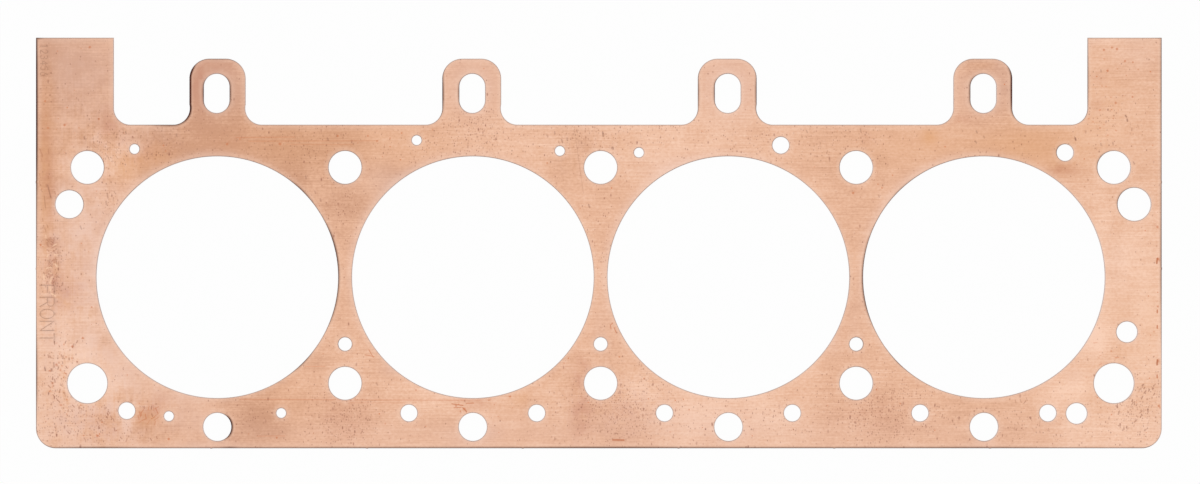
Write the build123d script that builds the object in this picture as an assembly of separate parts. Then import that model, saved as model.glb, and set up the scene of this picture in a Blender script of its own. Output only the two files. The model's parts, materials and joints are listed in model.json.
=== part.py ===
from build123d import *
import os

# Cylinder head gasket for one bank of a large V8, punched from a single sheet of soft copper.
# One flat solid: the block face lies in Z = 0 and the head face at the sheet thickness.
# The cylinder bores stand in a row along X, and the origin is the middle of that row on the
# block face. +Y points to the valley side, where the slotted tabs and the two ears are.
# All sizes are in millimetres.

# Sheet
sheet_thickness = 1.27  # 0.050 in copper
edge_roll = 0.3  # rounding that a punch draws into the face side of a cut edge

# Cylinder bores
bore_count = 4
bore_diameter = 115.32  # 4.540 in
bore_bridge = 6.6  # narrowest copper between two bores

# Studs beside the bores, one column between each two bores and one at each end
stud_hole_diameter = 15.7
end_stud_reach = 62.0  # end bore's centre to the end stud column
upper_stud_rise = 52.4  # bore row to the upper row of stud holes
lower_stud_drop = 50.6  # bore row to the lower row of stud holes
dowel_hole_diameter = 19.05  # the two end holes of the lower row, over the ring dowels

# Short studs below each bore
rail_stud_diameter = 13.4
rail_stud_land = 7.05  # copper between a bore and its rail stud hole

# Rails and ends of the sheet
lower_rail = 3.5  # copper between a rail stud hole and the lower edge
deck_land = 15.1  # copper between a bore and the deck edge above it
left_overhang = 24.5  # end stud column to the left edge
right_overhang = 22.8  # end stud column to the right edge
sheet_corner_radius = 9.5

# Ears that stand up from the deck edge at both ends
ear_height = 41.5
ear_inset = 12.6  # end stud column to the ear's inner edge

# Slotted tabs, one above each bore
tab_width = 28.1
tab_height = 31.5
tab_offset = -0.55  # tab centre from the bore centre
tab_corner_radius = 9.5
first_tab_trim = 1.3  # the first tab is this much narrower, on its left side
slot_offset = -0.3  # slot centre from the bore centre
slot_width = 12.26
slot_length = 18.7
slot_top_land = 7.2  # copper between the slot and the tab's top edge

# Punch work: the round punch that cuts the root of each tab and ear, and the pips left
# between two strokes of the straight punch
root_radius = 7.9
root_overcut = 0.2  # how far some of its strokes bite into the tab's side
overcut_roots = ("tab 1 left", "tab 1 right", "tab 2 right", "tab 3 right")
stroke_pitch = 74.3
pip_height = 0.15
pip_length = 1.5
side_pips = (45.4, 4.1)  # heights above the bore row of the pips on both end edges

# Coolant, oil and steam holes
passage_diameter = 7.95  # lower coolant row and the two upper feeds
vent_diameter = 4.6  # steam vents
bridge_vent_diameter = 6.4  # one below each bridge, between the bores
drain_diameter = 9.9
passage_row_rise = 6.6  # lower passages above the rail stud row
bridge_vent_drop = 31.9  # bore row to the bridge vents
# Upper holes, one group for each bore, each hole as (right of the bore's centre, below the deck edge)
upper_vents = (((-39.5, 11.6),), ((-26.8, 7.4), (41.5, 12.5)), ((-42.7, 13.3),), ())
upper_feeds = ((), (), ((25.0, 9.8),), ((38.7, 13.3),))
# End holes as (right of, above) the stud or dowel hole that they stand beside
left_oil_offset = (-8.6, -17.6)  # upper end stud
left_oil_diameter = 13.3
right_oil_offset = (9.7, -17.6)  # upper end stud
right_oil_diameter = 15.8
right_drain_offset = (6.2, 24.5)  # dowel
left_feed_offset = (18.8, -13.1)  # dowel
# Odd ones of the lower row as (right of the end bore's centre, above the passage row)
rail_drain_offset = (44.2, -0.2)
rail_vent_offset = (-23.1, -1.5)

# Worked out from the above
bore_pitch = bore_diameter + bore_bridge
bore_radius = bore_diameter / 2
bore_columns = [bore_pitch * (i - (bore_count - 1) / 2) for i in range(bore_count)]
bridge_columns = [x + bore_pitch / 2 for x in bore_columns[:-1]]
left_studs = bore_columns[0] - end_stud_reach
right_studs = bore_columns[-1] + end_stud_reach
rail_stud_y = -(bore_radius + rail_stud_land + rail_stud_diameter / 2)
lower_edge = rail_stud_y - rail_stud_diameter / 2 - lower_rail
deck_edge = bore_radius + deck_land
left_edge = left_studs - left_overhang
right_edge = right_studs + right_overhang
ear_top = deck_edge + ear_height
tab_top = deck_edge + tab_height
slot_y = tab_top - slot_top_land - slot_length / 2
passage_row = rail_stud_y + passage_row_rise


def block(x_low, x_high, y_low, y_high):
    """A rectangle given by its four sides."""
    centre = Pos((x_low + x_high) / 2, (y_low + y_high) / 2)
    return centre * Rectangle(x_high - x_low, y_high - y_low)


def tab_sides(number):
    """The left and right sides of a tab."""
    middle = bore_columns[number] + tab_offset
    left = middle - tab_width / 2
    if number == 0:
        left += first_tab_trim
    return left, middle + tab_width / 2


def punched_root(corner_x, side, overcut):
    """The corner patch beside a tab or ear, and the round punch stroke that cuts it."""
    stroke_x = corner_x + side * (root_radius - overcut)
    patch = block(min(corner_x, stroke_x), max(corner_x, stroke_x), deck_edge, deck_edge + root_radius)
    stroke = Pos(stroke_x, deck_edge + root_radius) * Circle(root_radius)
    return patch, stroke


def outline():
    """The sheet's outer contour, with its tabs and ears, as one face."""
    body = block(left_edge, right_edge, lower_edge, deck_edge)
    low_corners = body.vertices().sort_by(Axis.Y)[:2]
    body = fillet(low_corners, sheet_corner_radius)

    ear_left = left_studs + ear_inset
    ear_right = right_studs - ear_inset
    body += block(left_edge, ear_left, 0, ear_top)
    body += block(ear_right, right_edge, 0, ear_top)
    roots = [punched_root(ear_left, 1, 0), punched_root(ear_right, -1, 0)]

    for number in range(bore_count):
        left, right = tab_sides(number)
        tab = block(left, right, 0, tab_top)
        body += fillet(tab.vertices().sort_by(Axis.Y)[-2:], tab_corner_radius)
        for x, side, word in ((left, -1, "left"), (right, 1, "right")):
            overcut = root_overcut if f"tab {number + 1} {word}" in overcut_roots else 0
            roots.append(punched_root(x, side, overcut))

    for patch, stroke in roots:
        body += patch
    for patch, stroke in roots:
        body -= stroke
    return body


def stud_holes():
    """The holes over studs and dowels, as (x, y, diameter)."""
    holes = []
    for x in bridge_columns:
        holes.append((x, upper_stud_rise, stud_hole_diameter))
        holes.append((x, -lower_stud_drop, stud_hole_diameter))
    for x in (left_studs, right_studs):
        holes.append((x, upper_stud_rise, stud_hole_diameter))
        holes.append((x, -lower_stud_drop, dowel_hole_diameter))
    for x in bore_columns:
        holes.append((x, rail_stud_y, rail_stud_diameter))
    return holes


def lower_passages():
    """The lower coolant row: a hole a quarter pitch to each side of a bore's centre."""
    holes = [(x, -bridge_vent_drop, bridge_vent_diameter) for x in bridge_columns]
    quarter = bore_pitch / 4
    holes.append((bore_columns[0] + quarter, passage_row, vent_diameter))
    for x in bore_columns[1:]:
        holes.append((x - quarter, passage_row, passage_diameter))
        holes.append((x + quarter, passage_row, passage_diameter))

    drain_right, drain_up = rail_drain_offset
    holes.append((bore_columns[-1] + drain_right, passage_row + drain_up, drain_diameter))
    vent_right, vent_up = rail_vent_offset
    holes.append((bore_columns[0] + vent_right, passage_row + vent_up, vent_diameter))
    return holes


def upper_passages():
    """The vents and feeds under the deck edge."""
    holes = []
    for groups, diameter in ((upper_vents, vent_diameter), (upper_feeds, passage_diameter)):
        for column, group in zip(bore_columns, groups):
            holes += [(column + right, deck_edge - drop, diameter) for right, drop in group]
    return holes


def end_passages():
    """The oil, drain and feed holes beside the end studs and dowels."""
    places = (
        (left_studs, upper_stud_rise, left_oil_offset, left_oil_diameter),
        (right_studs, upper_stud_rise, right_oil_offset, right_oil_diameter),
        (right_studs, -lower_stud_drop, right_drain_offset, drain_diameter),
        (left_studs, -lower_stud_drop, left_feed_offset, passage_diameter),
    )
    return [(x + right, y + up, diameter) for x, y, (right, up), diameter in places]


def pip_places():
    """Where the pips stand: (x, y, outward x, outward y) of points on the straight edges."""
    straight = right_edge - left_edge - 2 * sheet_corner_radius
    joints = int(straight // stroke_pitch)
    places = [(stroke_pitch * (i - (joints - 1) / 2), lower_edge, 0, -1) for i in range(joints)]
    for y in side_pips:
        places.append((left_edge, y, -1, 0))
        places.append((right_edge, y, 1, 0))
    return places


def gasket():
    face = outline()
    holes = [(x, 0, bore_diameter) for x in bore_columns]
    holes += stud_holes() + lower_passages() + upper_passages() + end_passages()
    for x, y, diameter in holes:
        face -= Pos(x, y) * Circle(diameter / 2)
    for x in bore_columns:
        face -= Pos(x + slot_offset, slot_y) * SlotOverall(slot_length, slot_width, rotation=90)

    sheet = extrude(face, amount=sheet_thickness)
    head_face = sheet.faces().sort_by(Axis.Z)[-1]
    sheet = fillet(head_face.edges(), edge_roll)

    pip_radius = (pip_length**2 / 4 + pip_height**2) / (2 * pip_height)
    for x, y, out_x, out_y in pip_places():
        inset = pip_radius - pip_height
        pip = Cylinder(pip_radius, sheet_thickness, align=(Align.CENTER, Align.CENTER, Align.MIN))
        sheet += Pos(x - out_x * inset, y - out_y * inset) * pip
    return sheet


if __name__ == "__main__":
    os.makedirs("parts", exist_ok=True)
    export_step(gasket(), "parts/gasket.step")
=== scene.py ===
import json
import math
import random

import bpy
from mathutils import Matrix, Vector, kdtree
from mathutils.geometry import delaunay_2d_cdt


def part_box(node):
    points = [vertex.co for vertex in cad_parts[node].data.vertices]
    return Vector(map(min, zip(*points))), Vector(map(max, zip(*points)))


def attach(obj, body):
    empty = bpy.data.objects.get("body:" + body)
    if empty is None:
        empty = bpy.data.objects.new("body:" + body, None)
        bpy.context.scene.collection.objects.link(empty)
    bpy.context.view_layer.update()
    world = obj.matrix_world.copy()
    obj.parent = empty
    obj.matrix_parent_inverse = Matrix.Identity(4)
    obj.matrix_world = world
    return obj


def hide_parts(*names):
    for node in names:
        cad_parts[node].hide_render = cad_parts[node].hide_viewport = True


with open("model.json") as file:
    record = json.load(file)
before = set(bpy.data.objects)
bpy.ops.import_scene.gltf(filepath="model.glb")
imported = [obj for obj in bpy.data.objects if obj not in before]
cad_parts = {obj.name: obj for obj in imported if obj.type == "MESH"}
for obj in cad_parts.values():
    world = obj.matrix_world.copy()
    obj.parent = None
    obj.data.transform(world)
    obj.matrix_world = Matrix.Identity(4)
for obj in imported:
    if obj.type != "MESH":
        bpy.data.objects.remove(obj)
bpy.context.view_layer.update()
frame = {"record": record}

mm = 0.001  # plan sizes are in millimetres until the mesh is made
random.seed(7)

# where the holes are comes from the frame's own record
record = frame["record"]
mountAt = {mount["name"]: mount for mount in record["mounts"]}
openingAt = {opening["name"]: opening["box_m"] for opening in record["physics"]["openings"]}
lowCorner, highCorner = (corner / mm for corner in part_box("gasket"))


def openingMiddle(name):
    low, high = openingAt[name]
    return (low[0] + high[0]) / 2 / mm, (low[1] + high[1]) / 2 / mm


boreColumns = [mountAt[f"cylinder_bore_{n}"]["pos_m"][0] / mm for n in (1, 2, 3, 4)]
endStudLeft = openingMiddle("upper_stud_1")[0]
endStudRight = openingMiddle("upper_stud_5")[0]

sheet = {
    "thickness": highCorner.z - lowCorner.z,
    "deckEdge": 72.76,  # bore row to the edge that the tabs stand on
    "tabTop": 104.26,
    "tabWidth": 28.1,
    "tabShift": -0.55,  # a tab's middle from its bore's
    "firstTabTrim": 1.3,  # off the first tab's left side
    "tabCorner": 9.5,
    "lowCorner": 9.5,
    "earInset": 12.6,  # end studs to the ear's inner edge
    "rootRadius": 7.9,
    "overcut": 0.2,  # bite of some root strokes into the tab
    "overcutRoots": ("1 left", "1 right", "2 right", "3 right"),
    "slotWidth": 12.26,
    "slotLength": 18.7,
    "strokePitch": 74.3,  # of the straight punch, which left a pip between two strokes
    "sidePips": (45.4, 4.1),
    "pipHeight": 0.15,
    "pipLength": 1.5,
    "pipSteps": 4,  # points on each half of a pip
    "rollWidth": 0.5,  # how far in from a cut the punch drew the face down
    "rollDepth": 0.26,
    "rollSteps": 6,
    "tornHeight": 0.5,  # the lower part of a cut breaks instead of shearing
    "tornTaper": 0.05,
    "flatRim": 0.05,  # a narrow level ring that keeps the face's shading flat
    "brightRing": 0.75,  # pressed bright by the stripper plate round each cut
    "topGrid": 1.8,  # spacing of the face's inner points
    "backGrid": 3.0,
    "gridGap": 0.5,  # how far those keep from the rings and marks
    "markStep": 0.45,  # spacing of the points along a mark
    "markGap": 0.2,  # how far those keep from the rings
    "samePoint": 0.09,  # nearer points of crossing marks count as one
    "holeSteps": ((30, 1.5), (5, 4.5), (0, 6.0)),  # radius over, degrees between the hole's points
    "sharpAngle": 24,  # degrees; flatter folds are shaded smooth
    "hair": 0.01,  # points nearer than this are one, and no step in height is less
    "nearness": 1e-5,  # how finely the triangulation tells points apart
}

holeWidths = {  # across, for the round holes that the record gives as openings
    "upper_stud": 15.7,
    "lower_stud": 15.7,
    "rail_stud": 13.4,
    "lower_passage": 7.95,
    "upper_feed": 7.95,
    "bridge_vent": 6.4,
}
ventWidth = 4.6
ventPlaces = (  # the record has no opening over the steam vents
    (-222.38, 61.16), (-87.76, 65.36), (-19.46, 60.26),
    (18.26, 59.46), (-152.4, -64.81), (-205.98, -66.31),
)


def arc(x, y, radius, start, end, step=5.0):
    # angles and step in degrees
    count = max(2, math.ceil(abs(end - start) / step))
    angles = [math.radians(start + (end - start) * i / count) for i in range(count + 1)]
    return [(x + radius * math.cos(a), y + radius * math.sin(a)) for a in angles]


def straightCut(start, end, pips=()):
    # copper lies on the left of the cut; the pips stand out to its right
    length = math.dist(start, end)
    alongX, alongY = (end[0] - start[0]) / length, (end[1] - start[1]) / length
    count = math.ceil(length / sheet["topGrid"])
    places = [(length * i / count, 0.0) for i in range(count)]
    steps = sheet["pipSteps"]
    for pip in pips:
        places = [place for place in places if abs(place[0] - pip) > sheet["pipLength"]]
        for k in range(-steps, steps + 1):
            rise = sheet["pipHeight"] * (1 - (k / steps) ** 2)
            places.append((pip + k / steps / 2 * sheet["pipLength"], rise))
    places.sort()
    return [(start[0] + alongX * s + alongY * h, start[1] + alongY * s - alongX * h) for s, h in places]


def tabCut(number, column):
    # up the tab's right side, over its top and down its left
    deck, top, corner, root = (sheet[k] for k in ("deckEdge", "tabTop", "tabCorner", "rootRadius"))
    middle = column + sheet["tabShift"]
    left = middle - sheet["tabWidth"] / 2 + (sheet["firstTabTrim"] if number == 1 else 0)
    right = middle + sheet["tabWidth"] / 2
    names = (f"{number} left", f"{number} right")
    bites = [sheet["overcut"] if name in sheet["overcutRoots"] else 0 for name in names]
    turns = [math.degrees(math.acos((root - bite) / root)) for bite in bites]
    points = arc(right + root - bites[1], deck + root, root, 270, 180 - turns[1])
    points += straightCut(points[-1], (right, top - corner))
    points += arc(right - corner, top - corner, corner, 0, 90)
    points += straightCut((right - corner, top), (left + corner, top))
    points += arc(left + corner, top - corner, corner, 90, 180)
    rootArc = arc(left - root + bites[0], deck + root, root, turns[0], -90)
    return points + straightCut((left, top - corner), rootArc[0]) + rootArc


def outerCut():
    # counter-clockwise from the lower left corner
    pip, corner, root, deck = (sheet[k] for k in ("pipHeight", "lowCorner", "rootRadius", "deckEdge"))
    left, right = lowCorner.x + pip, highCorner.x - pip
    low, top = lowCorner.y + pip, highCorner.y
    earLeft, earRight = endStudLeft + sheet["earInset"], endStudRight - sheet["earInset"]
    joints = int((right - left - 2 * corner) // sheet["strokePitch"])
    lowPips = [sheet["strokePitch"] * (i - (joints - 1) / 2) - left - corner for i in range(joints)]
    points = arc(left + corner, low + corner, corner, 180, 270)
    points += straightCut((left + corner, low), (right - corner, low), lowPips)
    points += arc(right - corner, low + corner, corner, 270, 360)
    rightPips = [y - low - corner for y in sheet["sidePips"]]
    points += straightCut((right, low + corner), (right, top), rightPips)
    points += straightCut((right, top), (earRight, top))
    points += straightCut((earRight, top), (earRight, deck + root))
    points += arc(earRight - root, deck + root, root, 0, -90)
    for number in (4, 3, 2, 1):
        tab = tabCut(number, boreColumns[number - 1])
        points += straightCut(points[-1], tab[0]) + tab
    rootArc = arc(earLeft + root, deck + root, root, 270, 180)
    points += straightCut(points[-1], rootArc[0]) + rootArc
    points += straightCut((earLeft, deck + root), (earLeft, top))
    points += straightCut((earLeft, top), (left, top))
    return points + straightCut((left, top), (left, low + corner), [top - y for y in sheet["sidePips"]])


def roundHoles():
    holes = []
    for mount in record["mounts"]:
        if mount["kind"] == "bore":
            holes.append((mount["pos_m"][0] / mm, mount["pos_m"][1] / mm, mount["dims"]["r_mm"]))
    for name in openingAt:
        kind = name.rsplit("_", 1)[0]
        if kind in holeWidths:
            holes.append((*openingMiddle(name), holeWidths[kind] / 2))
    return holes + [(x, y, ventWidth / 2) for x, y in ventPlaces]


def slotCut(x, y):
    radius, reach = sheet["slotWidth"] / 2, (sheet["slotLength"] - sheet["slotWidth"]) / 2
    points = arc(x, y + reach, radius, 180, 0)
    points += straightCut((x + radius, y + reach), (x + radius, y - reach))
    points += arc(x, y - reach, radius, 0, -180)
    return points + straightCut((x - radius, y - reach), (x - radius, y + reach))


def withoutRepeats(points):
    return [p for i, p in enumerate(points) if math.dist(p, points[i - 1]) > sheet["hair"]]


def movedIn(loop, distance):
    # the loop moved into the copper on its left, with mitred corners
    moved, count = [], len(loop)
    for i, (x, y) in enumerate(loop):
        sides = []
        for a, b in ((loop[i - 1], (x, y)), ((x, y), loop[(i + 1) % count])):
            length = math.dist(a, b)
            sides.append(((a[1] - b[1]) / length, (b[0] - a[0]) / length))
        (ax, ay), (bx, by) = sides
        share = 1 + ax * bx + ay * by
        moved.append((x + distance * (ax + bx) / share, y + distance * (ay + by) / share))
    return moved


holes = roundHoles()
slots = [[value / mm for value in mountAt[f"tab_slot_{n}"]["pos_m"][:2]] for n in (1, 2, 3, 4)]
cuts = [withoutRepeats(outerCut())]
for holeX, holeY, holeRadius in holes:
    holeStep = next(step for over, step in sheet["holeSteps"] if holeRadius > over)
    cuts.append(withoutRepeats(arc(holeX, holeY, holeRadius, 360, 0, holeStep)))
for slotX, slotY in slots:
    cuts.append(withoutRepeats(slotCut(slotX, slotY)))
print("outline and", len(cuts) - 1, "holes drawn,", sum(len(cut) for cut in cuts), "points")

stamps = {
    "wordAt": (-267.5, -3.8),  # foot of the first letter; the word reads down the sheet
    "wordHeight": 6.7,
    "wordPitch": 5.75,
    "wordWidth": 0.66,  # of the height
    "countAt": (-267.3, 111.2),
    "countHeight": 3.5,
    "countPitch": 2.66,
    "countWidth": 0.5,
    "halfWidth": 0.22,  # of the struck line
    "wordDepth": 0.09,
    "countDepth": 0.07,
    "shade": 0.34,  # how much darker the struck line is
}


def oval(x, y, across, up, start, end, count=10):
    angles = [math.radians(start + (end - start) * i / count) for i in range(count + 1)]
    return [(x + across * math.cos(a), y + up * math.sin(a)) for a in angles]


figures = {  # single strokes in a box one wide and one high
    "F": [[(0, 0), (0, 1), (1, 1)], [(0, 0.52), (0.8, 0.52)]],
    "R": [[(0, 0), (0, 1), (0.6, 1)] + oval(0.6, 0.76, 0.36, 0.24, 90, -90, 8) + [(0, 0.52)],
          [(0.55, 0.52), (1, 0)]],
    "O": [oval(0.5, 0.5, 0.5, 0.5, 0, 360, 20)],
    "N": [[(0, 0), (0, 1), (1, 0), (1, 1)]],
    "T": [[(0, 1), (1, 1)], [(0.5, 1), (0.5, 0)]],
    "1": [[(0.2, 0.8), (0.55, 1), (0.55, 0)]],
    "2": [oval(0.5, 0.7, 0.45, 0.3, 170, -40) + [(0.05, 0), (1, 0)]],
    "3": [oval(0.45, 0.76, 0.4, 0.24, 150, -90) + oval(0.45, 0.27, 0.48, 0.27, 90, -150)],
    "4": [[(0.75, 0), (0.75, 1), (0, 0.3), (1, 0.3)]],
    "5": [[(0.9, 1), (0.15, 1), (0.08, 0.55)] + oval(0.45, 0.33, 0.48, 0.33, 120, -150)],
    "6": [[(0.75, 1)] + oval(0.5, 0.32, 0.45, 0.32, 150, 510, 18)],
}


def struck(text, at, height, pitch, width):
    # reads down the sheet, the figures' heads to the right
    lines = []
    for n, letter in enumerate(text):
        for line in figures[letter]:
            kept = line[:1] + [b for a, b in zip(line, line[1:]) if math.dist(a, b) > sheet["hair"]]
            lines.append([(at[0] + v * height, at[1] - n * pitch - u * width * height) for u, v in kept])
    return lines


# every stroke is (points, half width, depth, darkness, orange rub); a painted highlight's darkness is -1
strokes = []
for text, name in (("FRONT", "word"), ("123456", "count")):
    place = [stamps[name + k] for k in ("At", "Height", "Pitch", "Width")]
    for line in struck(text, *place):
        strokes.append((line, stamps["halfWidth"], stamps[name + "Depth"], stamps["shade"], 0.0))

handling = {
    "scratches": (  # x and y of both ends, half width, depth, darkness, orange rub
        (-263.8, 44, -262.2, 37.8, 0.45, 0.02, 0.55, 0), (-12.4, 69.3, -8.2, 40, 0.3, 0.01, 0.2, 0),
        (-129.1, 47.3, -125.3, 26.3, 0.25, 0.01, 0.12, 0),
        (106.1, 71.2, 112.8, 36.8, 0.25, 0.01, 0.1, 0), (245.3, 29.7, 243, 19.6, 0.25, 0.01, 0.12, 0),
        (-174, 66.6, -146, 66.9, 0.3, 0, 0.05, 0.5), (-168, 64.9, -106, 65.1, 0.3, 0, 0, 0.45),
        (-150, 63.4, -118, 63.3, 0.25, 0, 0, 0.35), (-172, -58.2, -57, -58.8, 0.35, 0, 0.05, 0.5),
        (-120, -59.9, -88, -60, 0.25, 0, 0, 0.35), (-141, -42.6, -131.5, -42.5, 0.3, 0, 0, 0.45),
        (-164, -75.8, -150.5, -75.7, 0.3, 0, 0, 0.45), (5.7, -77.6, 11.2, -77.7, 0.6, 0, 0.3, 1),
        (5.8, -21.9, 4.6, -22.8, 0.32, 0.01, 0.12, 0.8), (4.6, -22.8, 5, -24.8, 0.32, 0.01, 0.12, 0.8),
        (6.4, -24, 7.5, -26.6, 0.36, 0.01, 0.12, 0.8),
        (-110.6, -34.6, -108.4, -38.2, 0.3, 0.01, 0.12, 0.8),
        (-112.5, -37, -108, -37.8, 0.3, 0.01, 0.1, 0.7),
        (-71, -60.4, -65.6, -61.2, 0.38, 0.01, 0.2, 0.9),
        (-70, -62.2, -66.4, -62, 0.3, 0.01, 0.15, 0.8),
        (-65.8, -62.2, -63.6, -64.4, 0.42, 0.01, 0.2, 0.95), (-64, -60.2, -60.4, -60, 0.3, 0, 0.1, 0.7),
        (-55, -57.2, -53.2, -58.8, 0.42, 0.01, 0.15, 0.9), (265.5, 9, 265.3, 6.6, 0.65, 0, 0.35, 1),
        (265.6, -39.4, 265.4, -41.8, 0.65, 0, 0.4, 1), (265.5, -15.6, 265.5, -17, 0.5, 0, 0.25, 1),
        (265.5, -23, 265.5, -24.4, 0.5, 0, 0.25, 1), (265.4, -46.6, 265.5, -48, 0.5, 0, 0.25, 1),
        (-260.4, 41, -259.2, 35.2, 0.35, 0.01, 0.3, 0.2),
        (-265.4, 38.8, -264.8, 33, 0.4, 0.01, 0.35, 0.1),
        (-261, 33.6, -260.4, 29.8, 0.35, 0.01, 0.25, 0.1),
    ),
    "nickAngles": (95, 125),
    "nickHalfWidth": 0.6,
    "nickDepth": 0.02,
    "nicks": (  # x, y, length, darkness
        (-246.2, 66.5, 1.2, 0.5), (-202.3, 67.8, 1.1, 0.4), (-130.1, 65.9, 1.3, 0.45),
        (-140.6, 47.6, 1.4, 0.45), (-136.2, 40.6, 1.2, 0.35), (-133.6, 36.8, 1.2, 0.4),
        (-21.9, 68.8, 1.2, 0.4), (-18.4, 65, 1.6, 0.5), (-16, 65.9, 1.2, 0.4), (-11.3, 69.7, 1.3, 0.35),
        (1.1, 68.3, 2.2, 0.6), (5.9, 61.6, 1, 0.7), (-5.5, 34, 1.6, 0.5), (98.4, 69.5, 1.2, 0.35),
        (124, 70.2, 1.2, 0.4), (132.8, 38.7, 1.1, 0.35), (179.4, 69.3, 1.2, 0.45),
        (179, 64.5, 1.3, 0.45), (182.9, 66.9, 1, 0.35), (226.5, 65.9, 1.3, 0.8), (250.6, 76.8, 1, 0.7),
        (251.2, 74.9, 1, 0.7), (254.4, 54.5, 1.3, 0.45), (238.7, 63.3, 1.2, 0.4),
        (244.4, 63.7, 1.2, 0.4), (238.7, 98.4, 1.1, 0.35), (-265, -43.8, 1.5, 0.7),
        (-106.7, -51, 1.2, 0.35), (-235.2, 38.9, 2.4, 0.4), (-235.7, 35.1, 1.8, 0.35),
        (-247.9, 23.7, 1.6, 0.4), (45, 88.4, 1, 0.3), (-219, 33, 1.2, 0.3), (-226.5, 21.5, 1.2, 0.3),
        (-241, -8, 1.6, 0.3), (-229.8, -20.6, 1.6, 0.4),
    ),
    "sparkHalfWidths": (0.6, 1.0),
    "sparkReach": 0.1,
    "sparkRubs": (0.7, 1.0),
    "sparkDarkness": 0.1,
    "sparks": (  # x and y of orange dots
        (-243.6, 109.8), (-265, 84), (-263.6, 71.2), (-255.7, 72.6), (-239.3, 75.5), (-267.2, 15.4),
        (-178.2, 63.5), (-152.9, 63.5), (-125.4, 67.4), (-111, 67.4), (-106.7, 65), (120.4, 40.2),
        (127.1, 17.3), (240.1, 108.4), (243.9, 109.5), (246.3, 108.9), (250.1, 103.1), (253.9, 102.6),
        (241.8, 98.4), (245.7, 83.1), (253.7, 86), (238.2, 71.2), (243.5, -35.2), (-154.5, -76.6),
        (-88.1, -53.8), (-43.2, -56.9), (-69, -61.4), (-65, -62.8), (266, 8.7), (266, -40),
        (266.2, -61.4), (265.6, 24), (265.8, -14), (-262.8, -44.6), (-259.6, -41.8), (-255, -38),
        (-261.5, -50.5), (-252, -33), (-247, -29), (-257.4, -61), (-240, -75.6), (-206, -77.2),
    ),
    "glints": (  # x, y, length, angle, half width: painted highlights on the bright sides of the deepest dents
        (-259.6, 5.6, 1.4, 130, 0.75), (-263.1, 4.5, 2.2, 8, 0.5), (-262.5, 2, 1.4, 150, 0.45),
        (-262.1, -0.3, 1.8, 35, 0.5), (-262.4, -2, 1.6, 70, 0.6), (-262.5, -5.6, 1.8, 95, 0.75),
        (-261, -8.4, 2.6, 150, 0.55), (-259.7, 10.7, 2, 0, 0.45), (-260.4, 15.4, 1.8, 30, 0.5),
        (-263.8, 10.2, 1.2, 60, 0.4), (-265.6, 0.2, 2.8, 95, 0.5), (-264.6, 19.4, 1.6, 95, 0.4),
    ),
    "scuffReaches": (0.3, 0.7),  # shares of a scuff's length, from its middle to its end
    "scuffWidths": (0.8, 1.3),
    "scuffForces": (0.5, 1.2),
    "scuffs": (
        # middle, half size, how many, length, angle and its spread, half width, depth, darkness, rub
        ((-261.6, 8), (2.8, 11), 60, 1.5, 100, 80, 0.38, 0.1, 0.22, 0.2),
        ((-235, 62), (9, 8), 24, 1.5, 118, 18, 0.24, 0.01, 0.45, 0),
        ((-232, 36), (6, 12), 12, 1.5, 105, 20, 0.26, 0.01, 0.45, 0),
        ((-200, 62), (44, 8), 28, 1.1, 112, 25, 0.22, 0.008, 0.35, 0),
        ((-140, 60), (30, 10), 18, 1.1, 105, 25, 0.22, 0.008, 0.35, 0),
        ((-20, 66), (40, 6), 18, 1.2, 100, 20, 0.24, 0.01, 0.4, 0),
        ((120, 66), (40, 6), 9, 1.2, 100, 25, 0.22, 0.01, 0.35, 0),
        ((185, 54), (14, 6), 6, 1.4, 110, 25, 0.25, 0.01, 0.4, 0),
        ((248, 66), (12, 10), 9, 1.1, 100, 35, 0.25, 0.01, 0.35, 0),
        ((-255, -48), (10, 18), 34, 1.2, 100, 35, 0.42, 0.01, 0.5, 0.25),
        ((-232, -68), (22, 10), 26, 1.2, 105, 35, 0.42, 0.01, 0.46, 0.25),
        ((256, -62), (9, 11), 34, 1.3, 65, 35, 0.42, 0.01, 0.52, 0.15),
        ((206, -66), (10, 8), 14, 1.2, 80, 35, 0.38, 0.01, 0.42, 0.15),
        ((-265, 44), (2.5, 22), 14, 2, 100, 12, 0.3, 0.01, 0.3, 0.2),
        ((-216, -65.8), (4.5, 4), 16, 2.4, 60, 60, 0.3, 0, 0.1, 0.6),
        ((-256, -46), (8, 15), 26, 0.5, 90, 60, 0.45, 0, 0, 0.6),
        ((242, -36), (7, 6), 10, 1.1, 0, 30, 0.35, 0, 0, 0.5),
        ((243, 84), (11, 22), 16, 0.5, 0, 40, 0.45, 0, 0, 0.6),
    ),
}


def shortStroke(x, y, reach, turn):
    reachX, reachY = reach * math.cos(turn), reach * math.sin(turn)
    return [(x - reachX, y - reachY), (x + reachX, y + reachY)]


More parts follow.
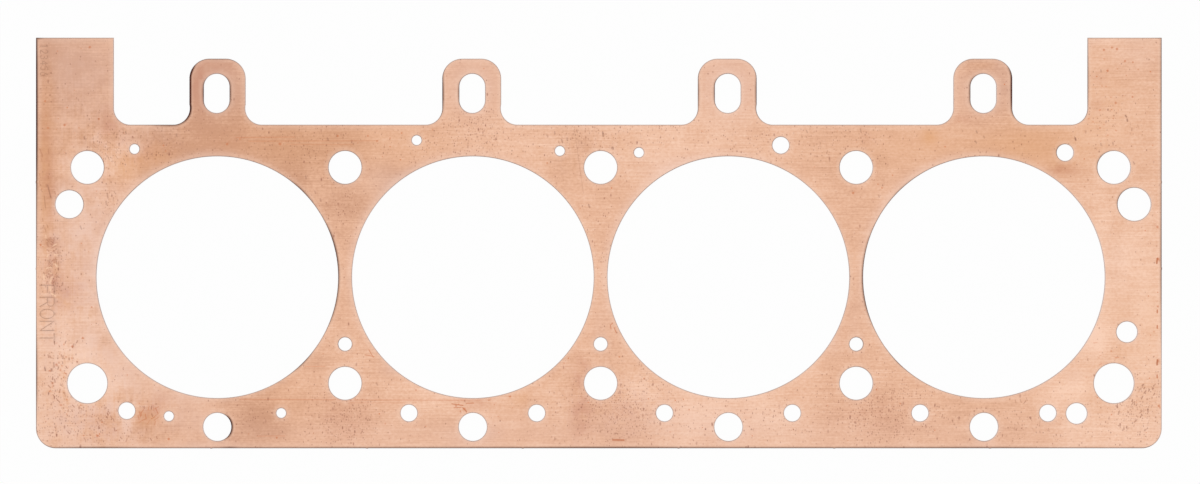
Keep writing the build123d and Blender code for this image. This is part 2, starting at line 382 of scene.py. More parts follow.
for startX, startY, endX, endY, *rest in handling["scratches"]:
    strokes.append(([(startX, startY), (endX, endY)], *rest))
for x, y, length, dark in handling["nicks"]:
    turn = math.radians(random.uniform(*handling["nickAngles"]))
    line = shortStroke(x, y, length / 2, turn)
    strokes.append((line, handling["nickHalfWidth"], handling["nickDepth"], dark, 0.0))
for x, y in handling["sparks"]:
    halfWidth = random.uniform(*handling["sparkHalfWidths"])
    warm = random.uniform(*handling["sparkRubs"])
    line = shortStroke(x, y, handling["sparkReach"], 0.0)
    strokes.append((line, halfWidth, 0.0, handling["sparkDarkness"], warm))
# painted highlights on the dents, laid as strokes
for x, y, length, angle, halfWidth in handling["glints"]:
    strokes.append((shortStroke(x, y, length / 2, math.radians(angle)), halfWidth, 0.0, -1.0, 0.0))
for middle, half, howMany, length, angle, spread, halfWidth, depth, dark, warm in handling["scuffs"]:
    for n in range(howMany):
        x, y = (middle[axis] + random.uniform(-1, 1) * half[axis] for axis in (0, 1))
        turn = math.radians(angle + random.uniform(-1, 1) * spread)
        line = shortStroke(x, y, length * random.uniform(*handling["scuffReaches"]), turn)
        wider = random.uniform(*handling["scuffWidths"])
        force = random.uniform(*handling["scuffForces"])
        strokes.append((line, halfWidth * wider, depth, dark * force, warm * force))


def awayFrom(x, y, a, b):
    # how far the point is from the line between a and b
    lengthSquared = (b[0] - a[0]) ** 2 + (b[1] - a[1]) ** 2
    part = ((x - a[0]) * (b[0] - a[0]) + (y - a[1]) * (b[1] - a[1])) / lengthSquared
    part = min(1.0, max(0.0, part))
    return math.hypot(x - a[0] - part * (b[0] - a[0]), y - a[1] - part * (b[1] - a[1]))


def strokePoints(line, halfWidth):
    # along the stroke's middle and both its sides, and one past each end
    points = []
    for a, b in zip(line, line[1:]):
        length = math.dist(a, b)
        alongX, alongY = (b[0] - a[0]) / length, (b[1] - a[1]) / length
        count = max(1, round(length / sheet["markStep"]))
        for i in range(count + 1):
            s = length * i / count
            for off in (-halfWidth, 0.0, halfWidth):
                points.append((a[0] + alongX * s - alongY * off, a[1] + alongY * s + alongX * off))
        points.append((a[0] - alongX * halfWidth, a[1] - alongY * halfWidth))
        points.append((b[0] + alongX * halfWidth, b[1] + alongY * halfWidth))
    return points


strokeBoxes = []
for line, halfWidth, *_ in strokes:
    (x0, x1), (y0, y1) = ((min(values), max(values)) for values in zip(*line))
    strokeBoxes.append((x0 - halfWidth, y0 - halfWidth, x1 + halfWidth, y1 + halfWidth))


def strokesAt(x, y):
    # how deep, dark and orange the strokes leave this point, and how much painted highlight
    sink, darkness, rubbed, glint = 0.0, 0.0, 0.0, 0.0
    for (line, halfWidth, depth, dark, warm), (x0, y0, x1, y1) in zip(strokes, strokeBoxes):
        if x0 <= x <= x1 and y0 <= y <= y1:
            share = max(0.0, 1 - min(awayFrom(x, y, a, b) for a, b in zip(line, line[1:])) / halfWidth)
            sink = max(sink, depth * share)
            darkness = max(darkness, dark * share)
            rubbed = max(rubbed, warm * share)
            glint = max(glint, -dark * share)
    return sink, darkness, rubbed, glint


def finder(points):
    tree = kdtree.KDTree(len(points))
    for index, (x, y) in enumerate(points):
        tree.insert((x, y, 0), index)
    tree.balance()
    return tree


cutFinder = finder([point for cut in cuts for point in cut])


def isCopper(x, y):
    # outside every hole and slot, and inside the outer cut
    for holeX, holeY, holeRadius in holes:
        if math.hypot(x - holeX, y - holeY) < holeRadius:
            return False
    reach = (sheet["slotLength"] - sheet["slotWidth"]) / 2
    for slotX, slotY in slots:
        if math.hypot(x - slotX, max(0.0, abs(y - slotY) - reach)) < sheet["slotWidth"] / 2:
            return False
    inside = False
    for i in range(len(cuts[0])):
        (ax, ay), (bx, by) = cuts[0][i - 1], cuts[0][i]
        if (ay > y) != (by > y) and x < (bx - ax) * (y - ay) / (by - ay) + ax:
            inside = not inside
    return inside


ringReach = sheet["rollWidth"] + sheet["flatRim"] + sheet["brightRing"]


def gridPoints(spacing, avoid):
    points = []
    for i in range(1, int((highCorner.x - lowCorner.x) / spacing)):
        for j in range(1, int((highCorner.y - lowCorner.y) / spacing)):
            x, y = lowCorner.x + i * spacing, lowCorner.y + j * spacing
            crowded = avoid and avoid.find((x, y, 0))[2] < sheet["gridGap"]
            clear = cutFinder.find((x, y, 0))[2] >= ringReach + sheet["gridGap"]
            if clear and not crowded and isCopper(x, y):
                points.append((x, y))
    return points


topPoints, laid = [], set()
for line, halfWidth, *_ in strokes:
    for x, y in strokePoints(line, halfWidth):
        key = (round(x / sheet["samePoint"]), round(y / sheet["samePoint"]))
        clear = cutFinder.find((x, y, 0))[2] > ringReach + sheet["markGap"]
        if clear and key not in laid and isCopper(x, y):
            laid.add(key)
            topPoints.append((x, y))
print(len(strokes), "marks laid out,", len(topPoints), "points")
topPoints += gridPoints(sheet["topGrid"], finder(topPoints))
backPoints = gridPoints(sheet["backGrid"], None)


def cutProfile():
    # up a punched cut, as (distance into the copper, height)
    thickness, width, depth = sheet["thickness"], sheet["rollWidth"], sheet["rollDepth"]
    steps = [(sheet["tornTaper"], 0.0), (0.0, sheet["tornHeight"]), (0.0, thickness - depth)]
    for k in range(1, sheet["rollSteps"] + 1):
        part = k / sheet["rollSteps"]
        steps.append((width * part, thickness - depth * (1 - part) ** 2))
    return steps + [(width + sheet["flatRim"], thickness), (ringReach, thickness)]


openFace = 9.0  # stands for the distance from a cut, inside the rings


def overCopper(spots):
    # a triangle on one rim alone lies over copper only if it turns the way that rim runs
    if None in spots or len({cutNumber for cutNumber, _ in spots}) > 1:
        return True
    a, b, c = (i for _, i in spots)
    return (a < b) + (b < c) + (c < a) == 2


def punchSheet():
    thickness, profile = sheet["thickness"], cutProfile()
    points, faces, fromCut, outward = [], [], [], []
    rims = {"top": [], "back": []}  # each point as (its index, number of its cut, place in the cut)
    rimEdges = []
    for cutNumber, cut in enumerate(cuts):
        count, first = len(cut), len(points)
        facing = []
        for (x, y), (inX, inY) in zip(cut, movedIn(cut, 1.0)):
            length = math.dist((x, y), (inX, inY))
            facing.append(((x - inX) / length, (y - inY) / length))
        for level, (distance, z) in enumerate(profile):
            ring = movedIn(cut, distance) if distance else cut
            for (x, y), way in zip(ring, facing):
                points.append((x, y, z))
                fromCut.append(distance)
                outward.append(way)
            if level:
                below, here = first + (level - 1) * count, first + level * count
                for i in range(count):
                    j = (i + 1) % count
                    faces.append((below + i, below + j, here + j, here + i))
        start, last = len(rimEdges), first + (len(profile) - 1) * count
        for i in range(count):
            rimEdges.append((start + i, start + (i + 1) % count))
            rims["top"].append((last + i, cutNumber, i))
            rims["back"].append((first + i, cutNumber, i))
    for side, inner in (("top", topPoints), ("back", backPoints)):
        rim = rims[side]
        flat = [points[index][:2] for index, _, _ in rim] + inner
        # output 1 has every triangle inside the outer rim, those over the holes too
        made, _, triangles, origins, _, _ = delaunay_2d_cdt(
            [Vector(place) for place in flat], rimEdges, [], 1, sheet["nearness"])
        places, spots = [], []
        for point, origin in zip(made, origins):
            known = [rim[o] for o in origin if o < len(rim)]
            places.append(known[0][0] if known else len(points))
            spots.append(known[0][1:] if known else None)
            if not known:
                sink = strokesAt(point.x, point.y)[0] if side == "top" else 0.0
                points.append((point.x, point.y, thickness - sink if side == "top" else 0.0))
                fromCut.append(openFace)
                outward.append((0.0, 0.0))
        for triangle in triangles:
            if overCopper([spots[i] for i in triangle]):
                corners = [places[i] for i in triangle]
                faces.append(tuple(corners if side == "top" else reversed(corners)))
    return points, faces, fromCut, outward


points, faces, fromCut, outward = punchSheet()
mesh = bpy.data.meshes.new("gasketSheet")
mesh.from_pydata([(x * mm, y * mm, z * mm) for x, y, z in points], [], faces)
mesh.update()
mesh.polygons.foreach_set("use_smooth", [True] * len(mesh.polygons))
mesh.set_sharp_from_angle(angle=math.radians(sheet["sharpAngle"]))
print("sheet punched:", len(points), "points,", sum(len(face) - 2 for face in faces), "triangles")

# tarnish, laid on the mesh as soft blooms: middle x and y, half size in x and y, strength
tarnish = {
    "tone": (  # light is plus, dark is minus
        (-251, 95, 26, 24, -0.38), (-205, 54, 32, 18, -0.42), (-150, 66, 36, 15, -0.38),
        (-183, 90, 18, 18, -0.5), (-122, 38, 14, 22, -0.28), (-265, 56, 5, 38, -0.15),
        (-245, 14, 9, 34, 0.15), (-252, -36, 18, 14, 0.3), (30, 62, 24, 14, 0.25),
        (68, 68, 20, 12, 0.1), (205, 63, 20, 12, -0.12), (183, 86, 16, 18, -0.2),
        (61, 86, 14, 18, 0.15), (262, 6, 12, 30, 0.25), (262, -35, 14, 24, 0.35),
        (252, -72, 22, 10, 0.25), (90, -73, 30, 9, 0.1), (-254, -70, 18, 12, 0.3),
        (38, -52, 22, 14, 0.15), (-40, 62, 18, 12, 0.1), (-9, 62, 6, 9, -0.15), (-262, 16, 4, 2, -0.4),
        (-246, 62, 5, 8, -0.15), (-226, -71, 3, 5, 0.3), (-262, 108, 8, 8, -0.2),
        (-188, 95, 12, 14, -0.3), (-229, 56, 8, 8, 0.55), (-241, 66, 6, 5, 0.15),
        (-151, 53, 9, 7, -0.36), (-96, 48, 8, 6, -0.38), (-161, -64, 10, 14, -0.4),
        (-135, -42, 6, 6, -0.25), (-143, -60, 7, 8, -0.15), (-81, -58, 12, 8, 0.22),
        (19, -58, 10, 8, 0.26), (46, -68, 16, 10, 0.38), (77, -64, 16, 12, 0.28), (95, -51, 8, 6, 0.15),
        (138, -68, 10, 10, -0.15), (219, -54, 9, 8, 0.32), (236, -30, 9, 10, 0.6),
        (250, 10, 6, 12, 0.26), (243, 78, 8, 12, 0.22), (243, 104, 8, 8, 0.14), (238, -73, 8, 6, 0.15),
        (-234, -51, 8, 8, 0.26), (-258, -8, 8, 16, 0.15), (183, 101, 12, 7, -0.28),
        (193, 89, 5, 9, -0.2), (-19, 51, 6, 5, -0.18), (76, 65, 8, 6, -0.12), (157, 65, 8, 6, 0.1),
        (-220, -73, 6, 4, -0.15), (-264, 52, 4, 18, -0.15), (-210, 68, 8, 5, -0.12),
        (-19, -73, 8, 5, -0.12), (133, 56, 6, 6, -0.12), (-265, 4, 3, 10, 0.2), (260, -78, 8, 4, 0.12),
        (-172, -71, 14, 8, -0.2), (224, -72, 8, 8, 0.25), (19, -49, 8, 6, 0.15), (-55, -66, 9, 9, 0.15),
        (-160, 42, 8, 5, -0.2), (145, 49, 7, 5, -0.15), (236, 84, 5, 22, 0.12),
        (-264, 111, 6, 5, -0.12), (-191, 70, 8, 5, -0.12), (-260, -40, 8, 18, 0.12),
        (102, -44, 6, 5, 0.1), (238, 15, 7, 34, 0.25), (231, -53, 8, 9, 0.3), (-233, -42, 11, 7, 0.28),
        (-143, 47, 7, 5, -0.28), (-178, -78, 14, 4, -0.25), (-264, -2, 3, 8, 0.25),
        (-179, -59, 6, 4, -0.25), (-255, -56, 6, 6, 0.22), (-9, 52, 5, 4, -0.2),
        (-103, 42, 5, 5, -0.22), (-226, 42, 5, 6, 0.2), (228, 68, 5, 10, 0.22), (250, -60, 6, 6, 0.2),
        (266, 73, 2.5, 12, 0.2), (225, -80, 10, 3, 0.2), (-153, -50, 6, 4, -0.2),
        (246, 48, 16, 56, 0.11), (-251, 99, 12, 14, -0.12), (-210, -74, 14, 5, -0.16),
        (0, -2, 5, 14, 0.1),
    ),
    "warm": (  # orange is plus, pink is minus
        (-259, 18, 8, 5, -0.45), (-251, 98, 30, 24, -0.55), (-150, 64, 40, 14, 0.45),
        (-95, 64, 30, 14, 0.25), (205, 62, 26, 12, 0.8), (150, 62, 40, 12, 0.4),
        (236, 80, 14, 22, 0.25), (-61, 92, 16, 16, -0.7), (61, 92, 16, 16, -0.8),
        (183, 92, 16, 16, -0.65), (-243, 20, 10, 30, -0.5), (0, -74, 260, 8, -0.25),
        (-265, 56, 4, 34, 0.5), (157, 67, 4, 4, 0.9), (-212, 56, 12, 8, 0.6), (-262, -30, 5, 20, -0.5),
        (-250, -70, 18, 12, -0.35), (-183, 92, 16, 16, -0.55), (-227, 54, 7, 6, 0.7),
        (-234, -48, 10, 8, -0.3), (-264, 90, 4, 16, 0.4), (183, 101, 12, 6, 0.5),
        (45, -66, 50, 9, -0.25), (236, -30, 9, 12, -0.3), (0, -25, 4, 12, -0.25),
        (121, -20, 4, 14, -0.2), (263, -25, 4, 20, 0.2), (-150, -58, 16, 12, 0.2),
        (-210, 68, 8, 5, -0.3), (-216, -66, 6, 5, 0.9), (-264, 24, 3, 22, 0.4),
        (-265, 60, 3.5, 26, 0.25), (-195, -68, 12, 6, -0.4), (-235, -35, 8, 8, -0.35),
        (-62, -76, 10, 5, -0.45), (61, -75, 10, 5, -0.35), (-259, 36, 5, 10, -0.35),
        (-98, -38, 6, 6, -0.25), (246, 4, 6, 14, -0.25), (226, -47, 6, 6, -0.25), (-38, -58, 4, 4, 0.5),
        (-246, 10, 5, 12, 0.25), (219, 51, 6, 4, 0.25), (-200, -57, 18, 6, -0.5),
        (-188, -81, 16, 3, -0.45), (-225, -42, 10, 7, -0.45), (-268, 20, 2.5, 8, -0.4),
        (-100, -44, 5, 4, -0.4), (181, -80, 8, 3, -0.35), (-255, 44, 4, 6, -0.3),
        (-53, -74, 6, 4, -0.3), (111, -31, 4, 6, -0.3), (191, 101, 5, 4, -0.35), (233, 112, 6, 3, -0.3),
        (244, -32, 20, 36, 0.28), (243, 72, 20, 20, 0.22),
    ),
    "bruise": (  # brown and reddish stains
        (220.6, 51.1, 8, 2.6, 0.5), (-216.6, -65.5, 6, 5, 0.5), (-211, -60, 4, 4, 0.35),
        (127.1, 66.9, 3.5, 3, 0.35), (237.5, 94.5, 3, 3, 0.3), (237, 81.7, 3.5, 3, 0.3),
        (173, 75.9, 4, 2, 0.3), (-9.1, -66, 5, 14, 0.5), (-9.5, -44, 4.5, 8, 0.4),
        (-261.4, 2, 5, 9, 0.66), (-252, -8, 7, 7, 0.5), (-246, 8, 6, 6, 0.2), (-262, 16, 4, 2.4, 0.4),
        (-233, 74, 5, 8, 0.35), (-219, 60, 12, 6, 0.25), (-262.5, 40, 2.5, 16, 0.35),
        (-257, -62, 6, 10, 0.2), (-238, -70, 14, 7, 0.25), (-122, -67, 14, 12, 0.25),
        (12, -64, 16, 12, 0.25), (132, -66, 18, 10, 0.2), (-60, -60, 7, 3, 0.3), (-160, 47, 9, 5, 0.2),
        (-176, 66, 16, 6, 0.15), (-191, 93, 7, 14, 0.5), (-179, 101, 8, 5, 0.25),
        (-265, 62, 3, 24, 0.3), (-236, 71, 3, 6, 0.3), (-259.3, -11.5, 3.5, 4, 0.35),
    ),
    "dust": (  # where the dark specks crowd
        (-57, 71, 14, 9, 0.8), (-122, -66, 14, 15, 0.9), (9, -62, 22, 16, 1.0), (133, -65, 24, 13, 0.9),
        (252, -61, 14, 14, 0.8), (-250, -70, 24, 10, 0.7), (-258, -46, 9, 14, 0.5),
        (243, 75, 12, 12, 0.3), (0, 68, 32, 10, 0.5), (-143, 63, 24, 12, 0.35), (-205, 61, 22, 12, 0.4),
        (-236, 65, 10, 8, 0.5), (-234, 37, 5, 12, 0.3), (-167, -66, 10, 8, 0.4), (119, 68, 16, 10, 0.5),
        (76, 61, 22, 10, 0.35), (186, 56, 16, 10, 0.35), (-261, 2, 7, 16, 0.5), (-122, 32, 8, 14, 0.35),
        (0, 18, 5, 22, 0.3), (190, -70, 30, 8, 0.3), (70, -68, 24, 10, 0.35), (-75, 60, 22, 12, 0.3),
    ),
    "embers": (  # where the orange specks crowd
        (264, -25, 4, 40, 0.8), (240, 94, 18, 12, 0.4), (234, 65, 14, 10, 0.3), (-251, 70, 14, 14, 0.4),
        (-105, 65, 18, 10, 0.25), (-250, -68, 20, 10, 0.35), (40, -60, 24, 14, 0.2),
        (-60, -64, 14, 8, 0.3),
    ),
    "haze": (  # pale, a little pink: wiped or handled
        (-86, 45, 22, 6, 0.3), (36, 52, 18, 6, 0.35), (-243, 4, 10, 22, 0.4), (-246, -30, 10, 10, 0.45),
        (-226, -72, 3, 6, 0.5), (-222, -50, 10, 7, 0.35), (-224, 66, 7, 4, 0.3), (-105, 48, 9, 8, 0.2),
        (158, 46, 12, 6, 0.2), (-249, 30, 9, 10, 0.3), (258, 108, 12, 10, 0.25),
    ),
    "blotch": (  # where the tone is patchier
        (-248, 0, 22, 90, 0.9), (-225, 62, 24, 14, 0.6), (-230, -66, 34, 16, 0.7),
        (0, -60, 30, 20, 0.4), (-5, 60, 24, 14, 0.4),
    ),
}
paintedCutShade = (  # painted shade along the cuts that face away from the light, as blooms too
    (-269.5, 80, 3, 55, 1.15), (-269.5, -46, 3, 26, 0.7), (-196, 90, 3, 15, 2.0),
    (-269.5, 16, 3, 14, 0.13), (-254, 114.3, 16, 3, 0.13), (196.4, 90, 3, 15, 1.1),
    (267.8, 95, 3, 60, 0.56), (267.8, 3, 3, 46, 0.6), (-75.5, 88, 2.5, 12, 0.85),
    (74.5, 88, 2.5, 12, 0.72), (46.4, 88, 2.5, 12, 0.6), (232.3, 95, 2.5, 20, 0.5),
    (-177, -71, 3, 8, 1.1), (-177, 88, 2, 8, 0.62), (176.5, 88, 2, 8, 0.38), (-47.5, 88, 2, 10, 0.13),
    (-189.3, 88, 2, 8, 0.7), (-67.4, 88, 2, 8, 0.65), (54.5, 88, 2, 8, 0.55), (-127, 5, 5, 40, 0.75),
    (-142, 41, 8, 10, 0.45), (-142, -41, 8, 10, 0.6), (126, -8, 5, 32, 0.6), (142, -41, 8, 10, 0.45),
    (142, 41, 8, 10, 0.15), (0, -81.7, 400, 2.5, 0.66), (-240, -81.7, 18, 2.5, 0.25),
    (0, -81.7, 30, 2.5, 0.15), (180, -81.7, 30, 2.5, 0.15), (-183, 104, 12, 3, 0.42),
    (-205, 73, 12, 3, 0.7), (-238, 10, 6, 44, 0.14), (-224, 41, 8, 8, 0.25),
)


def bloomAt(blooms, x, y):
    total = 0.0
    for middleX, middleY, halfX, halfY, strength in blooms:
        far = ((x - middleX) / halfX) ** 2 + ((y - middleY) / halfY) ** 2
        if far < 7:  # beyond this a bloom no longer shows
            total += strength * math.exp(-far)
    return total


boreHaze = {  # a pale band along the upper left of each bore, laid into the haze layer
    "strength": 0.4,
    "middle": 1.0,  # mm outside the bore
    "halfWidth": 2.4,
    "reach": 8.0,
    "slant": 0.7,  # about 45 degrees
    "fullLean": 60.0,  # mm that way from the bore's centre, where the band is at its full
}


def boreHazeAt(x, y):
    haze = 0.0
    for column in boreColumns:
        away = math.hypot(x - column, y) - mountAt["cylinder_bore_1"]["dims"]["r_mm"]
        if away < boreHaze["reach"]:
            lean = max(0.0, -(x - column) * boreHaze["slant"] + y * boreHaze["slant"])
            fade = math.exp(-((away - boreHaze["middle"]) / boreHaze["halfWidth"]) ** 2)
            haze = max(haze, boreHaze["strength"] * (lean / boreHaze["fullLean"]) * fade)
    return haze


edge = {  # painted shade and painted highlight on the rolled edges, set by which way each cut faces
    "darkness": 0.06,  # of every cut
    "turnedDarkness": 0.6,  # more, where a cut faces out and down
    "most": 1.5,
    "outerShare": 0.1,  # the outer cut shows little of that turn
    "leftShare": 0.5,  # and the sheet's left half less than its right
    "downwards": 100.0,  # mm; facing down counts as lying this far to the right
    "fullTurn": 300.0,
    "leastShadeBelow": -70.0,  # least painted shade on the cuts below this height,
    "shadeRise": 110.0,  # and full painted shade this much higher
    "leastShade": 0.1,
    "shadeReach": 0.5,  # mm into the copper
    "shadeWidening": 0.9,  # more, for the darkness over the next value
    "widerFrom": 0.35,
    "shadeGain": 1.7,  # over 1: full for a part of the reach
    "shineReach": 0.55,
    "shineGain": 1.8,
    "shine": 0.55,
    "turnedShine": 0.45,  # more painted highlight, where a cut faces in and up
}


def turnedOut(x, y, way):
    # near 1 where a cut faces away from the sheet's middle and downwards, near -1 where it faces back;
    # this places the painted shade and painted highlight
    sideways = x * way[0] * (1.0 if x > 0 else edge["leftShare"])
    return max(-1.0, min(1.0, (sideways - edge["downwards"] * way[1]) / edge["fullTurn"]))


def layOn(name, values):
    layer = mesh.attributes.new(name, "FLOAT", "POINT")
    layer.data.foreach_set("value", values)


for bloomName, blooms in tarnish.items():
    values = [bloomAt(blooms, x, y) for x, y, z in points]
    if bloomName == "haze":
        values = [value + boreHazeAt(x, y) for value, (x, y, z) in zip(values, points)]
    layOn(bloomName, values)
marks = [strokesAt(x, y) if z > sheet["thickness"] / 2 else (0.0,) * 4 for x, y, z in points]
for place, markName in ((1, "struck"), (2, "rubbed"), (3, "glint")):
    layOn(markName, [mark[place] for mark in marks])
outerCount = len(cuts[0]) * len(cutProfile())
# painted shade on the rims turned away from the light, painted highlight on those turned towards it
shades, shines = [], []
for i, ((x, y, z), away, way) in enumerate(zip(points, fromCut, outward)):
    turn = turnedOut(x, y, way) * (edge["outerShare"] if i < outerCount else 1.0)
    cutShadeBloom = bloomAt(paintedCutShade, x, y) if away < openFace else 0.0
    high = min(1.0, max(edge["leastShade"], (y - edge["leastShadeBelow"]) / edge["shadeRise"]))
    dark = edge["darkness"] + edge["turnedDarkness"] * high * max(0.0, turn) + cutShadeBloom
    dark = min(edge["most"], dark)
    wider = max(0.0, min(1.0, dark) - edge["widerFrom"])
    reach = edge["shadeReach"] + edge["shadeWidening"] * wider
    shades.append(dark * min(1.0, edge["shadeGain"] * max(0.0, 1 - away / reach)))
    shine = min(1.0, edge["shineGain"] * max(0.0, 1 - away / edge["shineReach"]))
    shines.append(shine * (edge["shine"] + edge["turnedShine"] * max(0.0, -turn)))
layOn("paintedEdgeShade", shades)
layOn("paintedEdgeHighlight", shines)
ringCount = sum(len(cut) for cut in cuts) * len(cutProfile())
heights = [z for x, y, z in points[:ringCount]]
inner = [0.0] * (len(points) - ringCount)
layOn("pressed", [float(z > sheet["thickness"] - sheet["hair"]) for z in heights] + inner)
layOn("torn", [float(z < sheet["hair"]) for z in heights] + inner)
print("tarnish laid on")


def linear(hexColour):
    # sRGB to linear light
    channels = [int(hexColour[i : i + 2], 16) / 255 for i in (1, 3, 5)]
    return tuple(c / 12.92 if c <= 0.04045 else ((c + 0.055) / 1.055) ** 2.4 for c in channels) + (1.0,)


def addNode(tree, kind, settings=None, inputs=None):
    node = tree.nodes.new("ShaderNode" + kind)
    for name, value in (settings or {}).items():
        setattr(node, name, value)
    for key, value in (inputs or {}).items():
        if isinstance(value, bpy.types.Node):
            value = value.outputs[0]
        if isinstance(value, bpy.types.NodeSocket):
            tree.links.new(value, node.inputs[key])
        else:
            node.inputs[key].default_value = value
    return node


def emptyMaterial(name):
    material = bpy.data.materials.new(name)
    material.use_nodes = True
    material.node_tree.nodes.clear()
    return material, material.node_tree


def addObject(name, data):
    made = bpy.data.objects.new(name, data)
    bpy.context.scene.collection.objects.link(made)
    return made


copper = {
    "darkTone": "#d09d80",  # the clean metal's own three tones
    "midTone": "#e9b89a",
    "lightTone": "#fad1b8",
    "orangeTone": "#e2a87a",  # thin tarnish
    "pinkTone": "#e6bfae",
    "bruiseTone": "#bc7058",
    "hazeTone": "#f0d0c3",
    "dustTone": "#935749",
    "emberTone": "#d0703c",
    "struckTone": "#815044",
    # painted highlight on the dents
    "glintTone": "#fbd0b0",
    # painted shade on the rolled edges
    "edgeShadeTone": "#552f27",
    "tornTone": "#b98a72",
    # painted highlight on the rolled edges
    "edgeHighlightTone": "#f3dbd2",
    "pressedTone": "#f9d8c4",
    "roughness": 0.32,
    "roughSwing": 0.12,  # along the rolling lines
    "bump": 0.25,
    "bumpHeight": 0.01,  # mm
    "noiseRoughness": 0.55,
    "noiseShift": (7.3, 3.1),
    # noise patterns: length along the sheet and width in mm, weight, detail
    "lines": (70.0, 0.9, 0.3, 3),  # the mill's rolling lines
    "hairs": (22.0, 0.55, 0.55, 2),  # the real hairlines are near 0.05 wide; this is as fine as shows
    "pepper": (1.5, 1.1, 0.6, 2),  # grain of the soft copper, drawn coarser for the same reason
    "mottle": (34.0, 20.0, 0.4, 4),
    "cloud": (12.0, 8.0, 0.42, 4),
    "crossHairs": (0.8, 22.0, 1.0, 1),  # faint wiping lines across the rolling direction
    "patches": (5.5, 6.5, 2.0, 3),
    "patchBreak": (3.0, -0.5),  # gain and offset with which the patches break up the bruises
    "speckByChance": 0.6,  # share of a speck's radius
    "speckCore": 0.15,  # of its radius
    "faintest": 0.35,  # a speck's least strength
    # specks, one to a cell: its width in mm, length over width, turn in degrees, the layer that
    # crowds them and by how much, share of cells that have one anyway, largest radius in cells
    "specks": (1.05, 1.4, 12, "dust", 0.85, 0.04, 0.5),
    "blots": (3.0, 2.0, 14, "dust", 0.4, 0.014, 0.24),
    "embers": (2.6, 1.0, 40, "embers", 0.34, 0.014, 0.24),
}


